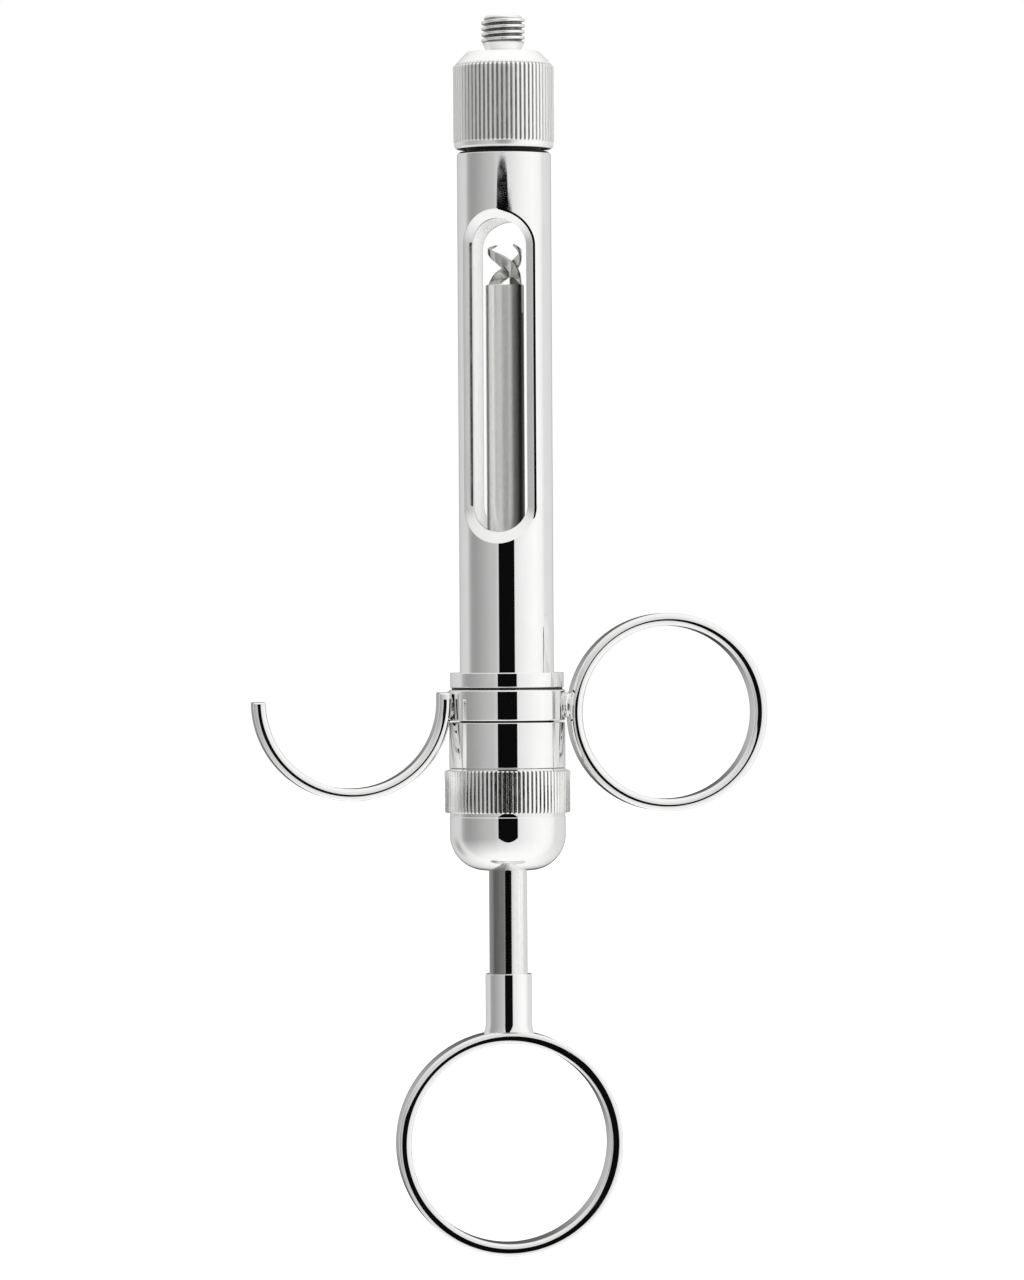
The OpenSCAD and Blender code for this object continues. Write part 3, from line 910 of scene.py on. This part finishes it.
def build_rod():
    """The rod: a slotted front end, a long round body and the tail inside the ferrule."""
    tail_r, ferrule_top = 1.5, high("ring_ferrule").z
    bottom = low("piston_rod").z
    slot_floor = ROD_FRONT - SLOT_DEPTH
    half_slot = SLOT_W / 2
    steps = 40

    def side_points(radius, sign):
        edge = math.asin(half_slot / radius)
        angles = [edge + (math.pi - 2 * edge) * i / steps for i in range(steps + 1)]
        return [turned((radius * math.cos(a), sign * radius * math.sin(a), 0), PISTON_CLOCK) for a in angles]

    mesh = Mesh()
    for sign in (1, -1):
        rows = []
        for radius, z in ((ROD_R, slot_floor), (ROD_R, ROD_FRONT - 0.12), (ROD_R - 0.04, ROD_FRONT - 0.03),
                          (ROD_R - 0.14, ROD_FRONT)):
            rows.append([(x, y, z) for x, y, _ in side_points(radius, sign)])
        mesh.face(mesh.rows(rows)[-1])
    circle = []
    for sign in (1, -1):
        points = side_points(ROD_R, sign)
        circle += points if sign > 0 else points[::-1]
    around = [Vector(p) for p in circle]

    def circle_row(radius, z):
        return [(p.x * radius / ROD_R, p.y * radius / ROD_R, z) for p in around]

    body_rows = [circle_row(ROD_R, slot_floor)]
    body_rows += [circle_row(ROD_R, slot_floor + (ferrule_top - slot_floor) * k / 12) for k in range(1, 13)]
    body_rows += [circle_row(tail_r, ferrule_top), circle_row(tail_r, bottom)]
    indices = mesh.rows(body_rows)
    mesh.face(indices[-1])
    first = indices[0]
    mesh.face((first[0], first[steps], first[steps + 1], first[-1]))
    piece = finish_piece("piston_rod_drawn", mesh, "piston", STEEL, ["piston_rod"], 30)
    true_round(piece, (ROD_R,))
    return piece


def harpoon_leg(mesh, start, twist, haste):
    """One leg of the barb: it leaves the slot edge-on, turns flat and winds up to a curled point.

    haste is the share of the twist that is saved up for the last part.
    """
    tip, foot = high("harpoon").z, ROD_FRONT - 0.3
    steps = 72
    frames = []
    for i in range(steps + 1):
        u = 1 - (1 - i / steps) ** 1.5
        blend = min(1.0, 2.6 * u)
        blend = blend * blend * (3 - 2 * blend)
        swing = start - twist * ((1 - haste) * u + haste * u ** 3.4)
        reach = 1.62 + 0.43 * blend - 0.40 * max(0.0, (u - 0.84) / 0.16) ** 1.5
        z = foot + (tip - 0.12 - foot) * u
        frames.append((u, blend, swing, Vector((reach * math.cos(swing), reach * math.sin(swing), z))))
    rows = []
    for i, (u, blend, swing, here) in enumerate(frames):
        along = (frames[min(i + 1, steps)][3] - frames[max(i - 1, 0)][3]).normalized()
        outward = Vector((math.cos(swing), math.sin(swing), 0))
        outward = (outward - along * outward.dot(along)).normalized()
        across = along.cross(outward)
        turn = blend * math.pi / 2
        wide = outward * math.cos(turn) + across * math.sin(turn)
        thin = along.cross(wide)
        half_w = 0.78 * (1 - 0.25 * u) * (1 - max(0.0, (u - 0.58) / 0.42) ** 1.5) + 0.07
        half_t = 0.25 * (1 - 0.45 * u)
        row = []
        for k in range(16):
            angle = TAU * k / 16
            c, s = math.cos(angle), math.sin(angle)
            point = here + wide * half_w * math.copysign(abs(c) ** 0.5, c)
            point += thin * half_t * math.copysign(abs(s) ** 0.5, s)
            inside = min(1.0, BARB_R / point.xy.length)
            row.append((point.x * inside, point.y * inside, point.z))
        rows.append(row)
    mesh.capped_rows(rows)


def build_harpoon():
    """A tang in the rod's slot, split above the rod into two legs that wind round each other."""
    mesh = Mesh()
    tang_half, floor = ROD_R - 0.03, ROD_FRONT - SLOT_DEPTH
    corners = [(-tang_half, -0.24), (tang_half, -0.24), (tang_half, 0.24), (-tang_half, 0.24)]
    rows = []
    for z in (floor + 0.02, ROD_FRONT + 0.02):
        rows.append([turned((x, y, z), PISTON_CLOCK) for x, y in corners])
    mesh.capped_rows(rows)
    harpoon_leg(mesh, PISTON_CLOCK, math.radians(214), 0.58)
    harpoon_leg(mesh, PISTON_CLOCK + math.pi, math.radians(206), 0.06)
    return finish_piece("harpoon_barb", mesh, "piston", BARB, ["harpoon"], 40)


def build_ferrule():
    """The ferrule: a straight sleeve that ends on the thumb ring in a low braze fillet."""
    top = high("ring_ferrule").z
    r = 2.97
    ring_r = (high("thumb_ring").x - low("thumb_ring").x) / 2
    ring_top = high("thumb_ring").z
    columns = 128

    def saddle(x):
        """Height of the thumb ring's outer face."""
        return ring_top - ring_r + math.sqrt(ring_r * ring_r - x * x) - 0.12

    mesh = Mesh()
    flare_top = ring_top + 1.2
    rows = lathe_rows([(1.5, top - 0.3), (1.6, top), (r - 0.1, top), (r - 0.03, top - 0.03), (r, top - 0.1)],
                      columns)
    for level in range(1, 9):
        rows.append(ring_row(r, top - 0.1 - (top - 0.1 - flare_top) * level / 8, columns))
    for step in range(1, 11):
        t = step / 10
        row = []
        for i in range(columns):
            angle = TAU * i / columns
            lump = 0.05 * math.sin(5 * angle + 1.0) * math.sin(9 * angle) * t * t
            spread = r + (0.34 + lump) * t ** 2.6
            x = spread * math.cos(angle)
            row.append((x, (r - 0.12 * t * t) * math.sin(angle), flare_top + (saddle(x) - flare_top) * t))
        rows.append(row)
    rows.append([(x * 0.5, y * 0.5, saddle(x * 0.5) - 0.3) for x, y, _ in rows[-1]])
    mesh.face(mesh.rows(rows)[-1])
    mesh.rows(lathe_rows([(1.5, top - 0.3), (0.0, top - 0.3)], columns), flip=True)
    piece = finish_piece("ring_ferrule_brazed", mesh, "piston", CHROME,
                         ["ring_ferrule"], 40)
    true_round(piece, (r,))
    return piece


# ---------------- assembly

def build_spring():
    """The pusher's coil spring. This mesh keeps one length; the real spring shortens towards its rear end as
    the pusher is pressed back.
    """
    coils, steps, sides, wire_r = 9, 32, 12, 0.3
    bottom, top = low("pusher_spring").z, high("pusher_spring").z
    coil_r = outer_r("pusher_spring") - wire_r
    mesh = Mesh()
    rows = []
    for i in range(coils * steps + 1):
        turn = TAU * i / steps
        middle = bottom + wire_r + (top - bottom - 2 * wire_r) * i / (coils * steps)
        row = []
        for k in range(sides):
            angle = TAU * k / sides
            reach = coil_r + wire_r * math.cos(angle)
            row.append((reach * math.cos(turn), reach * math.sin(turn), middle + wire_r * math.sin(angle)))
        rows.append(row)
    mesh.capped_rows(rows)
    piece = finish_piece("pusher_spring_coil", mesh, "guide", SPRING, ["pusher_spring"], 50)
    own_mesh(piece)


def build_pieces():
    build_needle_adaptor()
    build_nose_cap()
    build_barrel()
    plain_ring("barrel_flange_ring", "barrel_flange", "barrel", 0.12, BARREL_R + 0.001,
               outer_r("barrel_flange"))
    plain_ring("lock_sleeve_polished", "lock_sleeve", "barrel", 0.12, REAR_THREAD_R + 0.01,
               outer_r("lock_sleeve"))
    plain_ring("grip_collar_ring", "grip_collar", "grip", 0.2, BARREL_R + 0.05, COLLAR_R)
    braze_saddle("braze_ring_side", 1)
    braze_saddle("braze_hook_side", -1)
    build_closed_ring("finger_ring_band", "finger_ring", "grip", 1.3, 0.25)
    build_hook()
    build_breech_nut()
    build_rod()
    build_harpoon()
    build_ferrule()
    build_closed_ring("thumb_ring_band", "thumb_ring", "piston", 3.0, 0.4)
    build_spring()
    # The grip washer gets the near-black material as painted shade in the seam between the barrel flange and
    # the grip collar.
    carried = {"grip_washer": GAP_SHADE, "guide_tube": SPRING, "guide_clip": SPRING, "cartridge_pusher": SPRING,
               "seal_washer": SPRING, "rod_seal": RUBBER, "cartridge_seat": PTFE}
    for node, material in carried.items():
        data = frame["nodes"][node].data
        data.materials.clear()
        data.materials.append(material)


# ---------------- camera, floor and light

CAMERA_AZIMUTH = math.radians(-6.3)
CAMERA_DISTANCE = 900.0
CAMERA_HEIGHT = -75.24
FRAME_HEIGHT = 163.84
CAMERA_ASIDE = 0.68
CAMERA_ROLL = math.radians(0.336)
FLOOR_GAP = 0.012


def build_camera():
    data = bpy.data.cameras.new("camera")
    data.lens = 36 * CAMERA_DISTANCE / FRAME_HEIGHT
    data.sensor_width = 36
    data.clip_start = 0.02
    data.clip_end = 20
    camera = bpy.data.objects.new("camera", data)
    bpy.context.scene.collection.objects.link(camera)
    away = Vector((math.sin(CAMERA_AZIMUTH), -math.cos(CAMERA_AZIMUTH), 0))
    right = Vector((math.cos(CAMERA_AZIMUTH), math.sin(CAMERA_AZIMUTH), 0))
    target = (right * CAMERA_ASIDE + Vector((0, 0, CAMERA_HEIGHT))) * MM
    camera.location = target + away * CAMERA_DISTANCE * MM
    look = (target - camera.location).to_track_quat("-Z", "Y").to_matrix().to_4x4()
    camera.rotation_euler = (look @ Matrix.Rotation(-CAMERA_ROLL, 4, "Z")).to_euler()
    bpy.context.scene.camera = camera


def build_floor():
    """A pale floor that the thumb ring clears even with the piston pulled right back."""
    bottom = cad_box[0][2] + slide_range("piston_slide")[0] - FLOOR_GAP
    data = bpy.data.meshes.new("floor")
    half = 6.0
    corners = ((-half, -half), (half, -half), (half, half), (-half, half))
    data.from_pydata([(x, y, bottom) for x, y in corners], [], [(0, 1, 2, 3)])
    floor = bpy.data.objects.new("floor", data)
    bpy.context.scene.collection.objects.link(floor)
    material, _, shader = new_material("pale_floor")
    shader.inputs["Base Color"].default_value = (0.9, 0.9, 0.9, 1)
    shader.inputs["Roughness"].default_value = 0.9
    shader.inputs["Specular IOR Level"].default_value = 0.0
    shader.inputs["Emission Color"].default_value = (1, 1, 1, 1)
    shader.inputs["Emission Strength"].default_value = 0.35
    data.materials.append(material)
    floor.visible_glossy = False


def degrees_remap(tree, angle, from_degrees, to_range, smooth=False):
    """remap of an angle whose own range is given in degrees."""
    start, end = from_degrees
    return remap(tree, angle, (math.radians(start), math.radians(end)), to_range, smooth)


def world_ramp(tree, value, stops):
    """Grey levels by value: a chain of linear pieces through (place, level) stops."""
    ramp = tree.nodes.new("ShaderNodeValToRGB")
    elements = ramp.color_ramp.elements
    while len(elements) > 1:
        elements.remove(elements[-1])
    lowest, highest = stops[0][0], stops[-1][0]
    elements[0].position = 0
    elements[0].color = (stops[0][1],) * 3 + (1,)
    for place, level in stops[1:]:
        element = elements.new((place - lowest) / (highest - lowest))
        element.color = (level,) * 3 + (1,)
    tree.links.new(degrees_remap(tree, value, (lowest, highest), (0, 1)), ramp.inputs["Fac"])
    return ramp.outputs["Color"]


def card_half_width(tree, elevation):
    """Half width of the dark card by height: rounded foot, straight sides, shoulder and thin finger."""
    widths = (math.radians(19.5), math.radians(13.6))
    body = degrees_remap(tree, elevation, (3.46, 3.66), widths, smooth=True)
    taper = degrees_remap(tree, elevation, (3.60, 3.88), (0.0, math.radians(-1.8)), smooth=True)
    tip = combine(tree, "POWER", degrees_remap(tree, elevation, (3.80, 3.925), (1.0, 0.0)), 0.4)
    foot = combine(tree, "POWER", degrees_remap(tree, elevation, (-23.7, -9), (0.0, 1.0)), 0.5)
    return multiply(tree, combine(tree, "ADD", body, taper), multiply(tree, tip, foot))


def soft_patch(tree, aside, elevation, width, bottom, top):
    """A soft-edged patch: aside is the distance in azimuth from its middle."""
    beside = degrees_remap(tree, aside, (0.2 * width, width), (1.0, 0.0), smooth=True)
    middle = (bottom + top) / 2
    above = degrees_remap(tree, elevation, (bottom, middle), (0.0, 1.0), smooth=True)
    below = degrees_remap(tree, elevation, (middle, top), (1.0, 0.0), smooth=True)
    return multiply(tree, beside, multiply(tree, above, below))


def side_flats(tree, azimuth, elevation):
    """A faint grey flat low down on the far left and a dark one behind, for lines in the side views."""
    aside = combine(tree, "ABSOLUTE", combine(tree, "SUBTRACT", azimuth, math.radians(-129)))
    left = soft_patch(tree, aside, elevation, 16, -40, 0)
    away = combine(tree, "SUBTRACT", math.pi, combine(tree, "ABSOLUTE", azimuth))
    behind = soft_patch(tree, away, elevation, 16, -50, 40)
    return combine(tree, "MAXIMUM", multiply(tree, left, 0.42), behind)


def studio_grey(tree, azimuth, elevation):
    """The studio's grey levels: by azimuth near the horizon, white above and below."""
    sides = world_ramp(tree, azimuth, [
        (-180, 0.50), (-168, 0.50), (-155, 0.63), (-134, 0.70), (-114, 0.73), (-107, 0.66), (-101, 0.47),
        (-92, 0.37), (-82, 0.36), (-72, 0.39), (-56, 0.46), (-40, 0.54), (-28, 0.57), (-20, 0.66),
        (18, 0.85), (34, 0.94), (58, 1.05), (76, 1.09), (94, 1.04), (102, 0.98), (109, 0.83),
        (140, 0.78), (158, 0.72), (170, 0.50), (180, 0.50)])
    height = world_ramp(tree, elevation, [
        (-90, 1), (-62, 0.9), (-44, 0.55), (-30, 0.3), (-12, 0.0), (12, 0.0), (40, 0.6), (90, 1)])
    return mix_colours(tree, height, sides, (1.12, 1.12, 1.12, 1))


def dark_card(tree, azimuth, elevation):
    """1 on the dark card behind the camera, 0 beside it; its thin finger leans to the left."""
    places = (math.radians(0.7), math.radians(-4.2))
    centre = degrees_remap(tree, elevation, (3.42, 3.68), places, smooth=True)
    aside = combine(tree, "ABSOLUTE", combine(tree, "SUBTRACT", azimuth, centre))
    inside = combine(tree, "SUBTRACT", card_half_width(tree, elevation), aside)
    return degrees_remap(tree, inside, (-0.1, 0.3), (0.0, 1.0))


def build_light():
    """A studio that is grey on the left, with flats and a dark card; the camera itself sees it white."""
    world = bpy.data.worlds.new("studio")
    bpy.context.scene.world = world
    world.use_nodes = True
    tree = world.node_tree
    tree.nodes.clear()
    place = tree.nodes.new("ShaderNodeTexCoord")
    turn = tree.nodes.new("ShaderNodeMapping")
    turn.inputs["Rotation"].default_value = (0, 0, -CAMERA_AZIMUTH)
    tree.links.new(place.outputs["Generated"], turn.inputs["Vector"])
    split = tree.nodes.new("ShaderNodeSeparateXYZ")
    tree.links.new(turn.outputs["Vector"], split.inputs["Vector"])
    azimuth = combine(tree, "ARCTAN2", split.outputs["X"], multiply(tree, split.outputs["Y"], -1))
    elevation = combine(tree, "ARCSINE", split.outputs["Z"])
    level = studio_grey(tree, azimuth, elevation)
    level = mix_colours(tree, side_flats(tree, azimuth, elevation), level, (0.05, 0.05, 0.05, 1))
    level = mix_colours(tree, dark_card(tree, azimuth, elevation), level, (0.004, 0.004, 0.004, 1))
    pattern = tree.nodes.new("ShaderNodeBackground")
    tree.links.new(level, pattern.inputs["Color"])
    white = tree.nodes.new("ShaderNodeBackground")
    white.inputs["Color"].default_value = (1, 1, 1, 1)
    path = tree.nodes.new("ShaderNodeLightPath")
    choose = tree.nodes.new("ShaderNodeMixShader")
    tree.links.new(path.outputs["Is Camera Ray"], choose.inputs["Fac"])
    tree.links.new(pattern.outputs["Background"], choose.inputs[1])
    tree.links.new(white.outputs["Background"], choose.inputs[2])
    output = tree.nodes.new("ShaderNodeOutputWorld")
    tree.links.new(choose.outputs["Shader"], output.inputs["Surface"])
    view = bpy.context.scene.view_settings
    view.view_transform = "Standard"
    view.look = "None"


build_pieces()
build_camera()
build_floor()
build_light()
